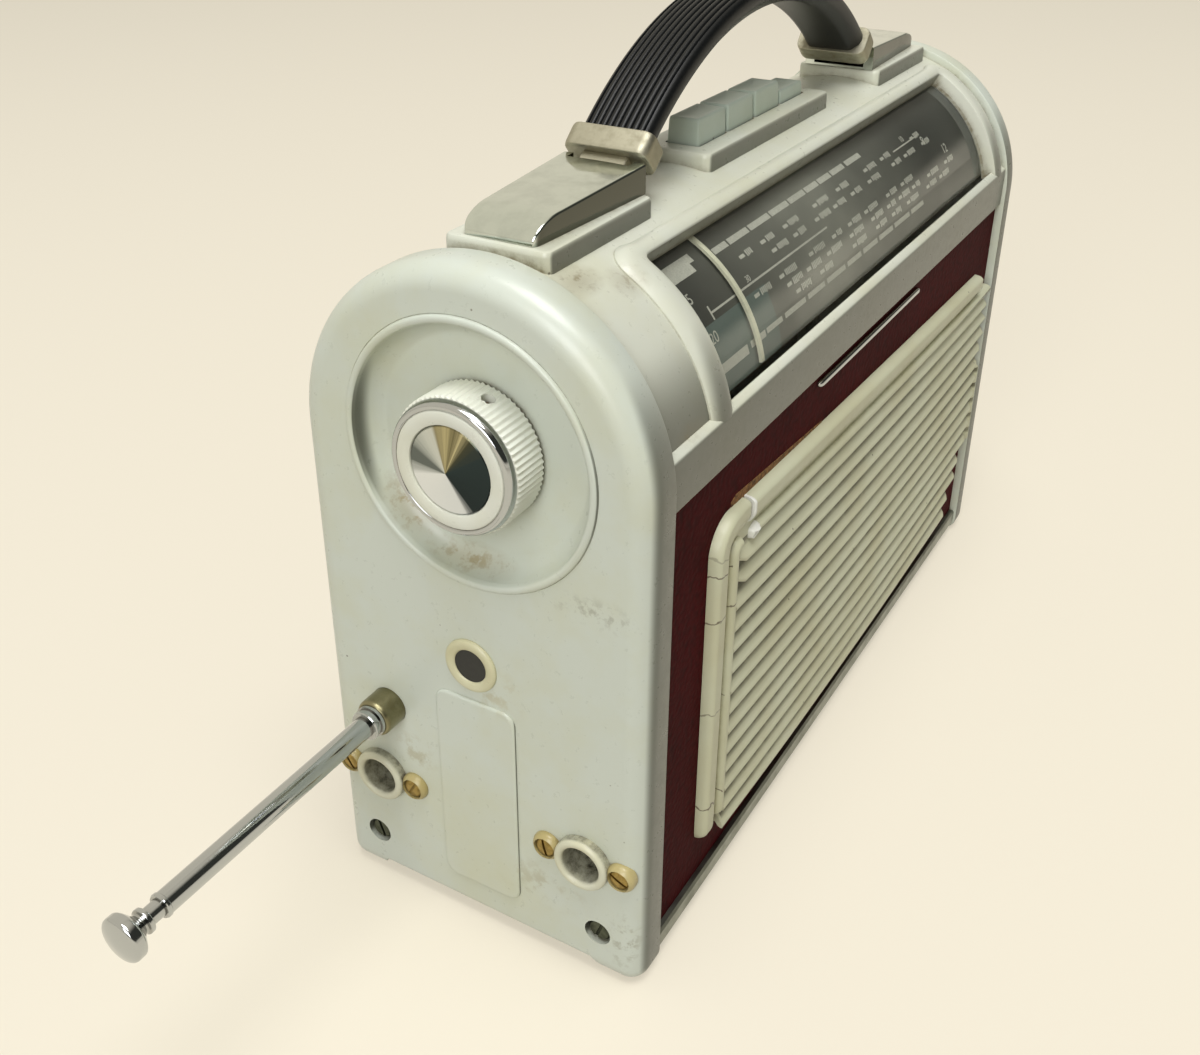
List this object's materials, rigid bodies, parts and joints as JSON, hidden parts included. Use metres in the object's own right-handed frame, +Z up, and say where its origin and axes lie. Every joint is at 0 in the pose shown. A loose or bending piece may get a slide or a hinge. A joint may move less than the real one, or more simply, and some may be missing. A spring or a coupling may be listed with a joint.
{
  "type": "transistor radio",
  "caption": "Portable transistor radio: arched case with end knobs, curved scale window, louvred grille, push keys, strap handle and telescopic aerial.",
  "frame": {"origin": "middle of the whole radio's footprint, on the surface that its feet stand on", "axes": "+X along the case, from the tuning knob's end to the volume knob's end; -Y is the front with the grille; +Z up"},
  "size_m": [0.3952, 0.1034, 0.2378],
  "materials": {
    "case_plastic": "yellowed, worn gloss",
    "leatherette": "fine grain, satin",
    "base": "matt",
    "grille_plastic": "yellowed gloss",
    "cloth": "woven",
    "window": "clear moulded plastic",
    "dial": "satin print",
    "pointer": "gloss",
    "knob": "gloss",
    "bright": "polished",
    "trim": "dulled nickel",
    "screw": "tarnished",
    "dark_screw": "dark, matt",
    "steel": "plated",
    "plates": "bare",
    "moulding": "matt",
    "key": "satin",
    "strap": "ribbed vinyl",
    "socket": "aged gloss",
    "board": "laminate",
    "can": "bare",
    "ferrite": "ground ferrite",
    "coil": "waxed wire",
    "cone": "paper",
    "box": "matt",
    "cell": "satin"
  },
  "bodies": {
    "case": {"left_end_panel": "case_plastic", "right_end_panel": "case_plastic", "top_shell": "case_plastic", "bottom_plate": "base", "front_panel": "leatherette", "rear_cover": "leatherette", "cover_screws": "steel", "panel_screws": "dark_screw", "bottom_trim": "trim", "grille": "grille_plastic", "speaker_cloth": "cloth", "dial_window": "window", "dial_plate": "dial", "pointer_rail": "steel", "volume_control": "steel", "capacitor_frame": "steel", "switch_bank": "steel", "handle_strap": "strap", "handle_ferrules": "trim", "left_handle_shoe": "bright", "right_handle_shoe": "bright", "handle_pins": "steel", "antenna_sleeve": "trim", "antenna_outer_tube": "bright", "antenna_socket": "socket", "gramophone_socket": "socket", "socket_contacts": "screw", "socket_screws": "screw", "port_bezel": "socket", "port_plug": "dark_screw", "chassis": "steel", "circuit_board": "board", "if_cans": "can", "ferrite_rod": "ferrite", "ferrite_coils": "coil", "ferrite_holders": "moulding", "speaker_frame": "steel", "speaker_cone": "cone", "battery_box": "box", "batteries": "cell"},
    "tuning": {"tuning_knob": "knob", "tuning_knob_ring": "bright", "tuning_knob_cap": "bright", "tuning_knob_screw": "screw", "tuning_shaft": "steel"},
    "scale_pointer": {"pointer": "pointer"},
    "tuning_drum": {"drive_drum": "moulding"},
    "rotor": {"capacitor_rotor": "plates"},
    "volume": {"volume_knob": "knob", "volume_knob_ring": "bright", "volume_knob_cap": "bright", "volume_shaft": "steel"},
    "key_1": {"push_key_1": "key"},
    "key_2": {"push_key_2": "key"},
    "key_3": {"push_key_3": "key"},
    "key_4": {"push_key_4": "key"},
    "aerial_1": {"antenna_section_1": "bright"},
    "aerial_2": {"antenna_section_2": "bright"},
    "aerial_3": {"antenna_section_3": "bright", "antenna_tip": "bright"}
  },
  "joints": [
    {"name": "tuning_turn", "type": "hinge", "parent": "case", "child": "tuning", "pos_m": [-0.1006, 0.0007, 0.15], "axis": [1, 0, 0], "range_deg": [-126, 1042]},
    {"name": "pointer_slide", "type": "slide", "parent": "case", "child": "scale_pointer", "axis": [1, 0, 0], "range_m": [-0.0222, 0.1822]},
    {"name": "drum_turn", "type": "hinge", "parent": "case", "child": "tuning_drum", "pos_m": [-0.0306, 0.0127, 0.15], "axis": [0, 1, 0], "range_deg": [-48, 388]},
    {"name": "rotor_turn", "type": "hinge", "parent": "case", "child": "rotor", "pos_m": [-0.0306, 0.0297, 0.146], "axis": [0, 1, 0], "range_deg": [-20, 162]},
    {"name": "volume_turn", "type": "hinge", "parent": "case", "child": "volume", "pos_m": [0.1894, 0.0007, 0.15], "axis": [-1, 0, 0], "range_deg": [0, 270]},
    {"name": "key_1_press", "type": "slide", "parent": "case", "child": "key_1", "axis": [0, 0, -1], "range_m": [0, 0.0035], "stiffness_N_per_m": 300, "springref_m": -0.003},
    {"name": "key_2_press", "type": "slide", "parent": "case", "child": "key_2", "axis": [0, 0, -1], "range_m": [0, 0.0035], "stiffness_N_per_m": 300, "springref_m": -0.003},
    {"name": "key_3_press", "type": "slide", "parent": "case", "child": "key_3", "axis": [0, 0, -1], "range_m": [0, 0.0035], "stiffness_N_per_m": 300, "springref_m": -0.003},
    {"name": "key_4_press", "type": "slide", "parent": "case", "child": "key_4", "axis": [0, 0, -1], "range_m": [-0.0035, 0]},
    {"name": "aerial_1_slide", "type": "slide", "parent": "case", "child": "aerial_1", "axis": [-1, 0, 0], "range_m": [-0.0009, 0.12]},
    {"name": "aerial_2_slide", "type": "slide", "parent": "aerial_1", "child": "aerial_2", "axis": [-1, 0, 0], "range_m": [-0.065, 0.065]},
    {"name": "aerial_3_slide", "type": "slide", "parent": "aerial_2", "child": "aerial_3", "axis": [-1, 0, 0], "range_m": [-0.002, 0.13]}
  ],
  "couplings": [
    {"joint": "pointer_slide", "follows": "tuning_turn", "m_per_rad": 0.01},
    {"joint": "drum_turn", "follows": "tuning_turn", "ratio": 0.37037},
    {"joint": "rotor_turn", "follows": "tuning_turn", "ratio": 0.15432}
  ]
}
